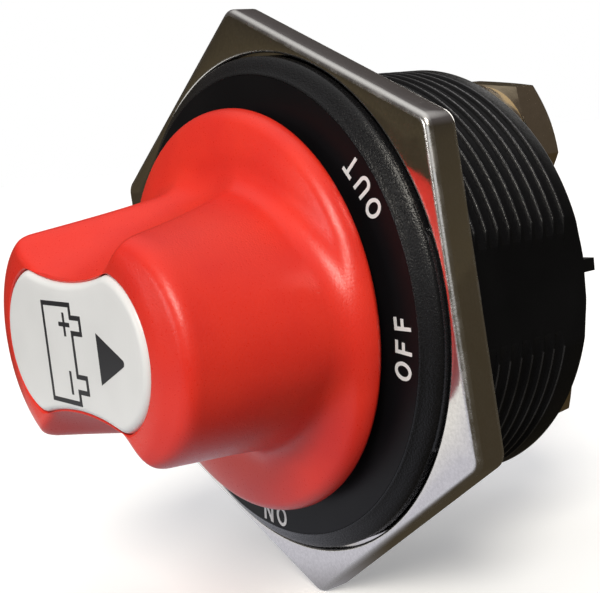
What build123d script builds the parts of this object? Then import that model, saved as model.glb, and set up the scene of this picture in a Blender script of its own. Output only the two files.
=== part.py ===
from build123d import *
import math
import os

# Panel-mounted battery switch with a removable key knob, in millimetres.
#
# Each piece is drawn with the switch's axis along +Z, the knob towards +Z, and z = 0 at the face
# that the panel touches. export_node then turns it to the mounted pose: the knob faces -Y, +Z is
# up, and OFF is at +X. Angles are counter-clockwise as seen from the knob, from OFF.

# Driving dimensions: the outside
NUT_ACROSS_FLATS = 62.0
NUT_THICKNESS = 4.2
NUT_FRONT_Z = 1.3
NUT_TURN = 94.8             # angle of one corner of the lock nut
NUT_CORNER_RADIUS = 2.2
NUT_EDGE_RADIUS = 0.7
THREAD_RADIUS = 26.5
THREAD_PITCH = 1.8
THREAD_DEPTH = 0.45
THREAD_CREST = 0.2          # width of a crest
THREAD_FLANK = 0.25         # width of a flank, seen from the side
THREAD_TURNS = 12
THREAD_FRONT_Z = -0.9
EDGE_CHAMFER = 0.9          # at the body's rear edge
FLAT_DISTANCE = 25.05       # from the axis to the flat on each side of the body
BODY_REAR_Z = -25.0
FLANGE_RADIUS = 29.25
FLANGE_BEVEL = ((29.25, 1.9), (28.9, 2.3), (28.3, 2.75))   # radius, z
LUG_RADIUS = 29.7           # locating lug on the flange's rim, at the OFF side
LUG_ANGLES = (-28.5, 18.0)
LUG_FRONT_Z = 1.6
RECESS_RADIUS = 30.0        # front recess of the lock nut
FLANGE_BACK_Z = 0.7
GASKET_RADIUS = 28.6
DIAL_RADIUS = 27.4
DIAL_BORE = 11.8
DIAL_THICKNESS = 0.8
DIAL_Z = 3.3

# Driving dimensions: the key knob
KNOB_BOTTOM_Z = 3.65
SKIRT_RADIUS = 23.8
SKIRT_TOP_Z = 7.0
CREST_Z = 26.6              # the edge between the handle's side and its top bevel
KNOB_TOP_Z = 28.0
SHOULDER = ((0.0, 5.5), (0.6, 6.2))   # the skirt's bevel: inset, z
SKIRT_TOP_INSET = 2.8
HANDLE_BASE = (21.6, 15.0)  # half length, half width
HANDLE_CREST = (21.0, 12.8)
HANDLE_TOP = (17.1, 12.5)
SCOOP_RADIUS = 17.1
SCOOP_WAIST = 7.6           # half width of the handle between the scoops, at the top
SCOOP_TILT = 24.0
LABEL_HALF_LENGTH = 16.2
LABEL_CORNER = (9.4, 8.3)
LABEL_WAIST = 7.1
LABEL_THICKNESS = 1.2
LABEL_TOP_Z = KNOB_TOP_Z + 0.3
LABEL_CHAMFER = 0.35
HOLLOW_BASE = (17.0, 12.0)  # hollow under the knob: half length, half width
HOLLOW_TOP = (15.0, 8.3)
HOLLOW_TOP_Z = 20.5
HUB_RADIUS = 8.4
GROOVE_RADII = (22.0, 20.2)  # hollow groove under the skirt
GROOVE_TOP_Z = 5.0

# Driving dimensions: the shank that the knob is screwed to
SHANK_RADIUS = 5.5
SHANK_TOP_Z = 20.0
SHANK_END_Z = -9.0
SOCKET_RADIUS = 5.7
GRIP_HALF_WIDTH = 4.5       # from the axis to each flat that the hub grips
WING_HALF_LENGTH = 7.9
WING_THICKNESS = 3.0
SHANK_GROOVE_Z = (-7.2, -5.6)
SCREW_HEAD_Z = 24.3
SCREW_HEAD_HEIGHT = 2.2
SCREW_HEAD_RADIUS = 3.9
SCREW_RADIUS = 1.9
SCREW_END_Z = 12.5

# Driving dimensions: the rotor, its bearing in the body and its detent
ANGLE_ON = -90.0
ANGLE_OUT = 40.0
WALL_BACK_Z = -5.2          # back of the body's front wall
COUNTERBORE_Z = -1.5        # floor of the room for the rotor's collar
COUNTERBORE_RADIUS = 14.3
BORE_RADIUS = 11.0
NECK_RADIUS = 10.95
COLLAR_RADIUS = 14.0
COLLAR_Z = (-3.8, -2.1)
STEM_RADIUS = 9.0
STEM_END_Z = -11.4
STOP_RADIUS = 16.0
STOP_ANGLE = 180.0
STOP_HALF_WIDTH = 6.0
STOP_CLEARANCE = 2.0        # degrees between the stop and each end of its room
DETENT_ANGLES = (50.0, -50.0)
DETENT_Z = -2.95
DETENT_BALL_RADIUS = 1.5
DETENT_POCKET = (14.0, 21.2)   # from the axis to each end
RUN_GAP = 0.05              # between pieces that move or turn on each other
FIT_GAP = 0.02              # between pieces that are pressed or screwed together
BITE = 0.1                  # how far joined shapes overlap
BALL_CENTRE = COLLAR_RADIUS + RUN_GAP + DETENT_BALL_RADIUS

# Driving dimensions: the contact carriage, which two cam pins move along the axis
CONTACT_TRAVEL = 2.7        # from OFF to ON
TRAVEL_PER_DEGREE = CONTACT_TRAVEL / abs(ANGLE_ON)
PIN_RADIUS = 1.1
PIN_Z = -6.9
SLEEVE_RADIUS = 11.5
SLEEVE_TOP_Z = -5.2
PLATE_Z = (-14.3, -12.8)
BRIDGE_Z = (-17.8, -15.3)
CLIP_Z = (-18.7, -17.9)
CLIP_RADIUS = 6.0
CARRIAGE_END_Z = -19.6
CARRIAGE_STEM_RADIUS = 3.9
CAVITY_RADIUS = 22.0
GUIDE_DISTANCE = 20.0       # from the axis to the rib that each carriage ear slides on
GUIDE_SIZE = (4.2, 2.6)
TIP_THICKNESS = 0.6
CONTACT_FACE_Z = BRIDGE_Z[0] - TIP_THICKNESS - CONTACT_TRAVEL - RUN_GAP

# Driving dimensions: the back cover and the terminals
COVER_FRONT_Z = -22.0
COVER_SEAT_RADIUS = 24.0
COVER_GROOVE = (23.6, 22.4, -23.3)   # outer and inner radius, floor
PEDESTAL_Z = -32.1
PEDESTAL_RADIUS = 8.0
BARRIER_Z = -35.2
BARRIER_WIDTH = 37.2
BARRIER_THICKNESS = 1.6
SCREW_OFFSET = 13.4
BOSS_RADIUS = 3.0           # screw boss inside the body
BOSS_WEB = 3.2
PILOT_RADIUS = 1.25
COVER_SCREW_RADIUS = 1.2
COVER_SCREW_END_Z = -13.0
COVER_SCREW_HEAD = (2.3, 2.9, 1.8)   # rear and front radius, height
STUD_RADIUS = 5.0
STUD_OFFSET = 15.5
STUD_HEAD_Z = -23.5
STUD_HEAD_RADIUS = 6.0
STUD_HEAD_WIDTH = 10.8
STUD_SEAT_RADIUS = 6.4      # room for the stud's O-ring in the cover
STUD_SEAT_Z = (-25.5, -23.9)
STUD_END_Z = -44.0
WASHER_RADIUS = 8.8
WASHER_THICKNESS = 2.0
SPRING_WASHER_RADIUS = 8.3
SPRING_WASHER_THICKNESS = 2.2
SPRING_WASHER_GAP = 0.8
STUD_NUT_FRONT_Z = PEDESTAL_Z - WASHER_THICKNESS - SPRING_WASHER_THICKNESS
STUD_NUT_THICKNESS = 5.0
STUD_NUT_ACROSS_FLATS = 17.0
STUD_NUT_TURN = (51.0, -35.0)

os.makedirs("parts", exist_ok=True)


def export_node(shape, name):
    """Turn a piece to the mounted pose and write it as one node."""
    export_step(Rotation(90, 0, 0) * shape, f"parts/{name}.step")


def disc(radius, low, high, x=0.0, y=0.0):
    """A cylinder from z = low to z = high."""
    return Pos(x, y, low) * Cylinder(radius, high - low, align=(Align.CENTER, Align.CENTER, Align.MIN))


def tube(outer, inner, low, high, x=0.0, y=0.0):
    """A ring of rectangular section."""
    return disc(outer, low, high, x, y) - disc(inner, low - 1, high + 1, x, y)


def block(size_x, size_y, low, high, x=0.0, y=0.0):
    """A box from z = low to z = high."""
    return Pos(x, y, low) * Box(size_x, size_y, high - low, align=(Align.CENTER, Align.CENTER, Align.MIN))


def turned(points):
    """A solid of revolution about Z, from points (radius, z)."""
    section = make_face(Polyline([(r, 0, z) for r, z in points], close=True))
    return revolve(section, Axis.Z)


def ring_seal(radius, section_radius, z, x=0.0, y=0.0):
    """An O-ring."""
    return Pos(x, y, z) * Torus(radius, section_radius)


def sector(outer, inner, start, end, low, high):
    """A part of a ring between two angles, in degrees."""
    corners = [(inner * cos_deg(start), inner * sin_deg(start)), (outer * cos_deg(start), outer * sin_deg(start))]
    middle = (start + end) / 2
    outer_arc = ThreePointArc(corners[1], (outer * cos_deg(middle), outer * sin_deg(middle)),
                              (outer * cos_deg(end), outer * sin_deg(end)))
    inner_end = (inner * cos_deg(end), inner * sin_deg(end))
    inner_arc = ThreePointArc(inner_end, (inner * cos_deg(middle), inner * sin_deg(middle)), corners[0])
    outline = make_face([Line(corners[0], corners[1]), outer_arc, Line(outer_arc @ 1, inner_end), inner_arc])
    return Pos(0, 0, low) * extrude(outline, high - low)


def cos_deg(angle):
    return math.cos(math.radians(angle))


def sin_deg(angle):
    return math.sin(math.radians(angle))


def at_angle(angle, shape):
    """Turn a shape about the axis."""
    return Rotation(0, 0, angle) * shape


def obround(half_length, half_width, z):
    """A slot-shaped outline, long in X, at height z."""
    length = 2 * half_length
    return Pos(0, 0, z) * SlotOverall(length, 2 * half_width)


def scoop_centre_y(z):
    """Where the axis of the tilted scoop cylinder crosses height z."""
    return SCOOP_WAIST + SCOOP_RADIUS + (KNOB_TOP_Z - z) * math.tan(math.radians(SCOOP_TILT))


def scoop(side):
    """The tilted cylinder that cuts one finger scoop."""
    middle_z = (KNOB_TOP_Z + SKIRT_TOP_Z) / 2
    cutter = Rotation(side * SCOOP_TILT, 0, 0) * Cylinder(SCOOP_RADIUS, 60)
    return Pos(0, side * scoop_centre_y(middle_z), middle_z) * cutter


def hexagon(across_flats, low, high, turn, x=0.0, y=0.0):
    """A hexagonal prism with one corner at the angle turn."""
    outline = RegularPolygon(across_flats / math.sqrt(3), 6)
    return Pos(x, y, low) * Rotation(0, 0, turn) * extrude(outline, high - low)


# ---------------------------------------------------------------- body


def thread_points():
    """Outer outline of the body, from the rear edge to the flange: crests and roots in turn."""
    points = [(THREAD_RADIUS - EDGE_CHAMFER, BODY_REAR_Z), (THREAD_RADIUS, BODY_REAR_Z + EDGE_CHAMFER)]
    first = THREAD_FRONT_Z - THREAD_TURNS * THREAD_PITCH
    root = THREAD_RADIUS - THREAD_DEPTH
    for turn in range(THREAD_TURNS):
        low = first + turn * THREAD_PITCH
        high = low + THREAD_PITCH - THREAD_CREST
        points.append((THREAD_RADIUS, low))
        points.append((root, low + THREAD_FLANK))
        points.append((root, high - THREAD_FLANK))
        points.append((THREAD_RADIUS, high))
    points.append((THREAD_RADIUS, FLANGE_BACK_Z))
    return points


def housing():
    """Threaded body with the front flange, the rotor's bearing and the guides of the carriage."""
    front = [
        (FLANGE_RADIUS, FLANGE_BACK_Z),
        *FLANGE_BEVEL,
        (DIAL_RADIUS + RUN_GAP, DIAL_Z),
        (0, DIAL_Z),
        (0, BODY_REAR_Z),
    ]
    body = turned(thread_points() + front)
    for side in (1, -1):
        body -= block(10, 60, BODY_REAR_Z - 1, FLANGE_BACK_Z, x=side * (FLAT_DISTANCE + 5))
    body += sector(LUG_RADIUS, FLANGE_RADIUS - 2, *LUG_ANGLES, FLANGE_BACK_Z, LUG_FRONT_Z)
    body -= tube(DIAL_RADIUS + RUN_GAP, DIAL_BORE - RUN_GAP, DIAL_Z - DIAL_THICKNESS - RUN_GAP, DIAL_Z + 1)
    body -= disc(BORE_RADIUS, WALL_BACK_Z - 1, DIAL_Z + 1)
    body -= disc(CAVITY_RADIUS, BODY_REAR_Z - 1, WALL_BACK_Z)
    body -= disc(COVER_SEAT_RADIUS, BODY_REAR_Z - 1, COVER_FRONT_Z)
    body -= disc(COUNTERBORE_RADIUS, WALL_BACK_Z - 1, COUNTERBORE_Z)
    stop_start = STOP_ANGLE + ANGLE_ON - STOP_HALF_WIDTH - STOP_CLEARANCE
    stop_end = STOP_ANGLE + ANGLE_OUT + STOP_HALF_WIDTH + STOP_CLEARANCE
    body -= sector(STOP_RADIUS + 0.3, COLLAR_RADIUS - 1, stop_start, stop_end, WALL_BACK_Z - 1, COUNTERBORE_Z)
    pocket_length = DETENT_POCKET[1] - DETENT_POCKET[0]
    for angle in DETENT_ANGLES:
        pocket = Rotation(0, 90, 0) * Cylinder(DETENT_BALL_RADIUS + BITE, pocket_length)
        body -= at_angle(angle, Pos(sum(DETENT_POCKET) / 2, 0, DETENT_Z) * pocket)
    for side in (1, -1):
        body += block(*GUIDE_SIZE, COVER_FRONT_Z, WALL_BACK_Z + BITE, x=side * GUIDE_DISTANCE)
    for x, y in screw_places():
        body += disc(BOSS_RADIUS, COVER_FRONT_Z, WALL_BACK_Z + BITE, x, y)
        web_x, web_y = x + math.copysign(BOSS_RADIUS * 0.4, x), y + math.copysign(BOSS_RADIUS * 0.4, y)
        body += block(BOSS_WEB, BOSS_WEB, COVER_FRONT_Z, WALL_BACK_Z + BITE, web_x, web_y)
    for x, y in screw_places():
        body -= disc(PILOT_RADIUS, COVER_FRONT_Z - 1, COVER_SCREW_END_Z + 3, x, y)
    return body


def dial_ring():
    """Flat ring let into the flange, which carries the position marks."""
    return tube(DIAL_RADIUS, DIAL_BORE, DIAL_Z - DIAL_THICKNESS, DIAL_Z)


def panel_gasket():
    """Flat washer under the flange."""
    return tube(GASKET_RADIUS, THREAD_RADIUS + 0.2, 0, FLANGE_BACK_Z)


def lock_nut():
    """Hexagon nut with a front recess that the flange sinks into."""
    low = NUT_FRONT_Z - NUT_THICKNESS
    nut = hexagon(NUT_ACROSS_FLATS, low, NUT_FRONT_Z, NUT_TURN)
    nut = fillet(nut.edges().filter_by(Axis.Z), NUT_CORNER_RADIUS)
    faces = nut.faces().sort_by(Axis.Z)
    nut = fillet(faces[-1].edges() + faces[0].edges(), NUT_EDGE_RADIUS)
    nut -= disc(RECESS_RADIUS, -RUN_GAP, NUT_FRONT_Z + 1)
    nut -= disc(THREAD_RADIUS + RUN_GAP, low - 1, NUT_FRONT_Z)
    mouth = nut.edges().filter_by(GeomType.CIRCLE).group_by(Axis.Z)[-1]
    return chamfer(mouth, 0.2)


def rear_cover():
    """Back plate with a pedestal for each stud and the barrier between them."""
    cover = disc(COVER_SEAT_RADIUS - 0.1, BODY_REAR_Z, COVER_FRONT_Z)
    for side in (1, -1):
        cover += disc(PEDESTAL_RADIUS, PEDESTAL_Z, BODY_REAR_Z + BITE, y=side * STUD_OFFSET)
    cover += block(BARRIER_WIDTH, BARRIER_THICKNESS, BARRIER_Z, BODY_REAR_Z + BITE)
    for side in (1, -1):
        y = side * STUD_OFFSET
        cover -= disc(STUD_RADIUS + FIT_GAP, PEDESTAL_Z - 1, COVER_FRONT_Z + 1, y=y)
        cover -= block(STUD_HEAD_WIDTH + 0.1, 2 * STUD_HEAD_RADIUS + 0.2, STUD_HEAD_Z, COVER_FRONT_Z + 1, y=y)
        cover -= disc(STUD_SEAT_RADIUS, *STUD_SEAT_Z, y=y)
    cover -= disc(CLIP_RADIUS + 0.6, COVER_FRONT_Z - 2, COVER_FRONT_Z + 1)
    groove_outer, groove_inner, groove_floor = COVER_GROOVE
    cover -= tube(groove_outer, groove_inner, groove_floor, COVER_FRONT_Z + 1)
    for x, y in screw_places():
        cover -= disc(COVER_SCREW_RADIUS + 0.4, BODY_REAR_Z - 1, COVER_FRONT_Z + 1, x, y)
    return cover


def cover_seal():
    """O-ring in the groove of the cover's rim."""
    return ring_seal(23.0, 0.55, -22.65)


def screw_places():
    """Centres of the cover screws."""
    return [(sx * SCREW_OFFSET, sy * SCREW_OFFSET) for sx in (1, -1) for sy in (1, -1)]


def cross_slot(width, length, low, high, x=0.0, y=0.0):
    """Cutter for a cross recess."""
    return block(length, width, low, high, x, y) + block(width, length, low, high, x, y)


def cover_screws():
    """Four pan-head screws."""
    screws = []
    head_low = BODY_REAR_Z - COVER_SCREW_HEAD[2]
    for x, y in screw_places():
        head = Pos(x, y, head_low) * Cone(*COVER_SCREW_HEAD, align=(Align.CENTER, Align.CENTER, Align.MIN))
        screw = head + disc(COVER_SCREW_RADIUS, BODY_REAR_Z - BITE, COVER_SCREW_END_Z, x, y)
        screws.append(screw - cross_slot(0.7, 3.4, head_low - 1, head_low + 0.9, x, y))
    return Compound(screws)


# ---------------------------------------------------------------- terminals


def stud(side):
    """Terminal stud: a flat-sided contact head inside, a shank outside."""
    y = side * STUD_OFFSET
    head = disc(STUD_HEAD_RADIUS, STUD_HEAD_Z, CONTACT_FACE_Z, y=y)
    head = head & block(STUD_HEAD_WIDTH, 3 * STUD_HEAD_RADIUS, STUD_HEAD_Z - 1, CONTACT_FACE_Z + 1, y=y)
    shank = disc(STUD_RADIUS, STUD_END_Z, STUD_HEAD_Z + BITE, y=y)
    shank = chamfer(shank.edges().group_by(Axis.Z)[0], 0.8)
    return head + shank


def upper_stud():
    return stud(1)


def lower_stud():
    return stud(-1)


def stud_seals():
    """An O-ring round each stud, inside the cover."""
    return Compound([ring_seal(5.65, 0.55, -24.7, y=side * STUD_OFFSET) for side in (1, -1)])


def flat_washers():
    """A flat washer on each pedestal."""
    low = PEDESTAL_Z - WASHER_THICKNESS
    bore = STUD_RADIUS + 0.25
    return Compound([tube(WASHER_RADIUS, bore, low, PEDESTAL_Z, y=side * STUD_OFFSET) for side in (1, -1)])


def spring_washers():
    """Two split washers, each with its narrow gap."""
    washers = []
    for side in (1, -1):
        y = side * STUD_OFFSET
        ring = tube(SPRING_WASHER_RADIUS, STUD_RADIUS + 0.2, STUD_NUT_FRONT_Z, PEDESTAL_Z - WASHER_THICKNESS, y=y)
        middle_z = STUD_NUT_FRONT_Z + SPRING_WASHER_THICKNESS / 2
        gap = Pos(-7, y, middle_z) * Rotation(25, 0, 0) * Box(6, SPRING_WASHER_GAP, 6)
        washers.append(ring - gap)
    return Compound(washers)


def stud_nuts():
    """Two hexagon nuts with the usual chamfer on both faces."""
    nuts = []
    corner = STUD_NUT_ACROSS_FLATS / math.sqrt(3) + 0.1
    face = STUD_NUT_ACROSS_FLATS / 2 - 0.2
    drop = (corner - face) * math.tan(math.radians(30))
    low = STUD_NUT_FRONT_Z - STUD_NUT_THICKNESS
    envelope = turned([
        (0, low),
        (face, low),
        (corner, low + drop),
        (corner, STUD_NUT_FRONT_Z - drop),
        (face, STUD_NUT_FRONT_Z),
        (0, STUD_NUT_FRONT_Z),
    ])
    for side, turn in zip((1, -1), STUD_NUT_TURN):
        prism = hexagon(STUD_NUT_ACROSS_FLATS, low, STUD_NUT_FRONT_Z, turn)
        nut = (prism & envelope) - disc(STUD_RADIUS + FIT_GAP, low - 1, STUD_NUT_FRONT_Z + 1)
        nuts.append(Pos(0, side * STUD_OFFSET, 0) * nut)
    return Compound(nuts)


# ---------------------------------------------------------------- key knob


def handle():
    """Tapered handle with a bevelled top and two finger scoops, before its hollow is cut."""
    lower = loft([obround(*HANDLE_BASE, SKIRT_TOP_Z - 1.5), obround(*HANDLE_CREST, CREST_Z)])
    upper = loft([obround(*HANDLE_CREST, CREST_Z), obround(*HANDLE_TOP, KNOB_TOP_Z)])
    solid = lower + upper
    for side in (1, -1):
        solid -= scoop(side)
    return solid


def knob_skirt():
    """Round skirt with a bevelled shoulder."""
    return turned([
        (0, KNOB_BOTTOM_Z),
        (SKIRT_RADIUS - 0.3, KNOB_BOTTOM_Z),
        (SKIRT_RADIUS, KNOB_BOTTOM_Z + 0.4),
        *((SKIRT_RADIUS - inset, z) for inset, z in SHOULDER),
        (SKIRT_RADIUS - SKIRT_TOP_INSET, SKIRT_TOP_Z),
        (0, SKIRT_TOP_Z),
    ])


def label_outline(grow):
    """Outline of the label plate: round ends and waisted sides."""
    x = LABEL_CORNER[0] + grow * 0.3
    y = LABEL_CORNER[1] + grow
    end = LABEL_HALF_LENGTH + grow
    waist = LABEL_WAIST + grow
    return make_face([
        ThreePointArc((x, -y), (end, 0), (x, y)),
        ThreePointArc((x, y), (0, waist), (-x, y)),
        ThreePointArc((-x, y), (-end, 0), (-x, -y)),
        ThreePointArc((-x, -y), (0, -waist), (x, -y)),
    ])


def knob():
    """Red key knob: handle, skirt, hub for the shank, and the hollow between them."""
    shape = handle() + knob_skirt()
    hollow = loft([obround(*HOLLOW_BASE, KNOB_BOTTOM_Z - 1), obround(*HOLLOW_TOP, HOLLOW_TOP_Z)])
    shape -= hollow - disc(HUB_RADIUS, 0, KNOB_TOP_Z)
    shape -= tube(*GROOVE_RADII, KNOB_BOTTOM_Z - 1, GROOVE_TOP_Z)
    label_floor = LABEL_TOP_Z - LABEL_THICKNESS
    shape -= Pos(0, 0, label_floor) * extrude(label_outline(0.1), 5)
    shape -= shank_grip(FIT_GAP, KNOB_BOTTOM_Z - 1, SHANK_TOP_Z + FIT_GAP)
    shape -= disc(SCREW_RADIUS + 0.2, SHANK_TOP_Z - 1, label_floor + 1)
    shape -= disc(SCREW_HEAD_RADIUS + 0.2, SCREW_HEAD_Z - FIT_GAP, label_floor + 1)
    return shape


def knob_label():
    """White plate let into the top of the knob."""
    plate = extrude(label_outline(0), LABEL_THICKNESS)
    plate = chamfer(plate.faces().sort_by(Axis.Z)[-1].edges(), LABEL_CHAMFER)
    return Pos(0, 0, LABEL_TOP_Z - LABEL_THICKNESS) * plate


def shank_grip(grow, low, high):
    """Double-D section that the knob's hub grips."""
    flats = block(2 * (GRIP_HALF_WIDTH + grow), 4 * SHANK_RADIUS, low, high)
    return disc(SHANK_RADIUS + grow, low, high) & flats


def key_shank():
    """Drive key: a round shank with two wings."""
    shank = disc(SHANK_RADIUS, SHANK_END_Z, 3.4) + shank_grip(0, 3.4 - BITE, SHANK_TOP_Z)
    shank += block(2 * WING_HALF_LENGTH, WING_THICKNESS, -3.3, 3.1)
    shank -= tube(SHANK_RADIUS + 1, 4.4, *SHANK_GROOVE_Z)
    shank -= disc(SCREW_RADIUS + 0.05, SCREW_END_Z - 1, SHANK_TOP_Z + 1)
    return chamfer(shank.edges().group_by(Axis.Z)[0], 0.6)


def shank_oring():
    """O-ring that keeps spray out of the key's socket."""
    return ring_seal(5.05, 0.58, sum(SHANK_GROOVE_Z) / 2)


def knob_screw():
    """Screw that holds the shank, under the label plate."""
    screw = disc(SCREW_HEAD_RADIUS, SCREW_HEAD_Z, SCREW_HEAD_Z + SCREW_HEAD_HEIGHT)
    screw += disc(SCREW_RADIUS, SCREW_END_Z, SCREW_HEAD_Z + BITE)
    return screw - cross_slot(0.9, 5.0, SCREW_HEAD_Z + 1.1, SCREW_HEAD_Z + 3)


# ---------------------------------------------------------------- mechanism


def cam_groove(start, end):
    """Helical groove in the rotor's stem between two angles of the rotor."""
    lowest = PIN_Z - end * TRAVEL_PER_DEGREE
    height = (end - start) * TRAVEL_PER_DEGREE
    path = Pos(0, 0, lowest) * Helix(360 * TRAVEL_PER_DEGREE, height, STEM_RADIUS, lefthand=True)
    section = Plane.XZ * Pos(STEM_RADIUS, lowest) * Rectangle(2.6, 2 * (PIN_RADIUS + 0.2))
    return at_angle(end, sweep(section, path, is_frenet=True))


def rotor():
    """Rotor with the key's socket, the stop lug, the detent dimples and the two cam grooves."""
    shape = disc(NECK_RADIUS, COLLAR_Z[1] - BITE, 3.2)
    shape += disc(COLLAR_RADIUS, *COLLAR_Z)
    shape += disc(STEM_RADIUS, STEM_END_Z, COLLAR_Z[0] + BITE)
    stop_start = STOP_ANGLE - STOP_HALF_WIDTH
    shape += sector(STOP_RADIUS, COLLAR_RADIUS - 1, stop_start, STOP_ANGLE + STOP_HALF_WIDTH, *COLLAR_Z)
    shape -= disc(SOCKET_RADIUS, SHANK_END_Z - 0.5, 5)
    shape -= block(2 * WING_HALF_LENGTH + 0.4, WING_THICKNESS + 0.2, -3.6, 5)
    shape -= tube(12.0, 9.55, 0.2, 1.9)
    for ball_angle in DETENT_ANGLES:
        for position in (0.0, ANGLE_ON, ANGLE_OUT):
            dimple = Pos(BALL_CENTRE - 0.35, 0, DETENT_Z) * Sphere(DETENT_BALL_RADIUS)
            shape -= at_angle(ball_angle - position, dimple)
    margin = math.degrees((PIN_RADIUS + 0.2) / STEM_RADIUS)
    for half_turn in (0, 180):
        shape -= at_angle(half_turn, cam_groove(-ANGLE_OUT - margin, -ANGLE_ON + margin))
    return shape


def rotor_oring():
    """O-ring between the rotor's neck and the body."""
    return ring_seal(10.27, 0.68, 1.05)


def thrust_washer():
    """Thin washer in front of the rotor's collar."""
    return tube(COLLAR_RADIUS, BORE_RADIUS + 0.1, COLLAR_Z[1] + RUN_GAP, COUNTERBORE_Z - RUN_GAP)


def detent_balls():
    """Two balls that click into the dimples of the collar."""
    ball = Pos(BALL_CENTRE, 0, DETENT_Z) * Sphere(DETENT_BALL_RADIUS)
    return Compound([at_angle(angle, ball) for angle in DETENT_ANGLES])


def detent_springs():
    """A short coil spring behind each ball."""
    wire = 0.22
    length = 3.3
    coil = Helix(pitch=0.82, height=length, radius=1.1)
    section = Plane(origin=coil @ 0, z_dir=coil % 0) * Circle(wire)
    spring = sweep(section, coil, is_frenet=True)
    start = BALL_CENTRE + DETENT_BALL_RADIUS + wire + 0.05
    laid = Pos(start, 0, DETENT_Z) * Rotation(0, 90, 0) * spring
    return Compound([at_angle(angle, laid) for angle in DETENT_ANGLES])


def contact_carriage():
    """Sliding carriage: a sleeve with two cam pins round the rotor's stem, and two guide ears."""
    carriage = disc(13.0, *PLATE_Z) + block(43.0, 8.0, *PLATE_Z)
    carriage = carriage & disc(CAVITY_RADIUS - 0.5, -30, 0)
    for side in (1, -1):
        carriage -= block(6.0, 3.0, -30, 0, x=side * 20.75)
    carriage += tube(SLEEVE_RADIUS, STEM_RADIUS + 0.2, PLATE_Z[1] - 0.1, SLEEVE_TOP_Z)
    for side in (1, -1):
        carriage += Pos(side * 8.7, 0, PIN_Z) * Rotation(0, 90, 0) * Cylinder(PIN_RADIUS, 1.6)
    carriage += disc(CARRIAGE_STEM_RADIUS, CARRIAGE_END_Z, PLATE_Z[0] + 0.1)
    return carriage - tube(5.0, 3.25, CLIP_Z[0] - RUN_GAP, CLIP_Z[1] + RUN_GAP)


def contact_bridge():
    """Copper bar that joins the two studs."""
    bar = block(12.0, 39.0, *BRIDGE_Z)
    bar = fillet(bar.edges().filter_by(Axis.Z), 2.0)
    return bar - disc(CARRIAGE_STEM_RADIUS + 0.2, BRIDGE_Z[0] - 1, BRIDGE_Z[1] + 1)


def contact_tips():
    """Silver tips under the ends of the bridge."""
    low = BRIDGE_Z[0] - TIP_THICKNESS
    return Compound([disc(4.5, low, BRIDGE_Z[0], y=side * STUD_OFFSET) for side in (1, -1)])


def pressure_spring():
    """Conical spring washer between the carriage and the bridge."""
    top = PLATE_Z[0]
    return turned([(4.3, top - 0.5), (7.5, BRIDGE_Z[1]), (7.5, BRIDGE_Z[1] + 0.5), (4.3, top)])


def bridge_clip():
    """Open retaining ring in the groove of the carriage's stem."""
    return tube(CLIP_RADIUS, 3.3, *CLIP_Z) - block(8.0, 4.4, -30, 0, x=4.0)


NODES = (
    housing, dial_ring, panel_gasket, lock_nut,
    rear_cover, cover_seal, cover_screws,
    upper_stud, lower_stud, stud_seals, flat_washers, spring_washers, stud_nuts,
    knob, knob_label, key_shank, shank_oring, knob_screw,
    rotor, rotor_oring, thrust_washer, detent_balls, detent_springs,
    contact_carriage, contact_bridge, contact_tips, pressure_spring, bridge_clip,
)

for make_node in NODES:
    export_node(make_node(), make_node.__name__)
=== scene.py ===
import math
import bpy
import numpy as np
from mathutils import Matrix, Vector


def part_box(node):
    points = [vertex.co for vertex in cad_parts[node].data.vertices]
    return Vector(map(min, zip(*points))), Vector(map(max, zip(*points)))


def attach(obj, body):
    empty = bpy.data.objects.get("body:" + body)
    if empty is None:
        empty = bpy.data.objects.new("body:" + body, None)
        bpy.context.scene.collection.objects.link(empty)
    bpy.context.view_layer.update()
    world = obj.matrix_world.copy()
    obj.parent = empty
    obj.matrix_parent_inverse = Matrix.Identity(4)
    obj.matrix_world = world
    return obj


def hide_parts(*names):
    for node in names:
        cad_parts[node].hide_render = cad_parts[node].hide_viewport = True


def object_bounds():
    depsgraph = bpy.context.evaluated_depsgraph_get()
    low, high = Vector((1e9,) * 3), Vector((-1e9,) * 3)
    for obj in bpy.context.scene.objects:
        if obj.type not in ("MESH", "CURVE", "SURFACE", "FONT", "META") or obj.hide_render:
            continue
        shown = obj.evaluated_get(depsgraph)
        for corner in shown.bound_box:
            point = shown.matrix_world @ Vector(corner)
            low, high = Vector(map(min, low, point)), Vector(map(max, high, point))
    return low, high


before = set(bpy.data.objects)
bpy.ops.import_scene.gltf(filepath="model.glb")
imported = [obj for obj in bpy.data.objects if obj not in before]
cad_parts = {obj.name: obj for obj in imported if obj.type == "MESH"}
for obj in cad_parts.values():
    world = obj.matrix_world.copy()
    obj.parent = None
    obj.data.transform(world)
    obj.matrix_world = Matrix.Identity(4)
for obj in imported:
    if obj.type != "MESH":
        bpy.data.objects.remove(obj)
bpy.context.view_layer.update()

# Lengths in this script are millimetres in the switch's own frame: x to the OFF side, y up and
# z out of the panel towards the knob, with z = 0 at the panel. to_row turns them to the row's
# frame in metres.
MM = 0.001
TAU = 2 * math.pi


def to_row(points):
    """Switch frame in millimetres to row frame in metres."""
    points = np.asarray(points, dtype=float)
    return np.stack([points[..., 0], -points[..., 2], points[..., 1]], axis=-1) * MM


def switch_box(node):
    """Lowest and highest corner of a CAD node in the switch's frame."""
    low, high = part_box(node)
    return (np.array([low.x, low.z, -high.y]) / MM, np.array([high.x, high.z, -low.y]) / MM)


# ---------------------------------------------------------------- sizes taken from the frame

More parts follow.
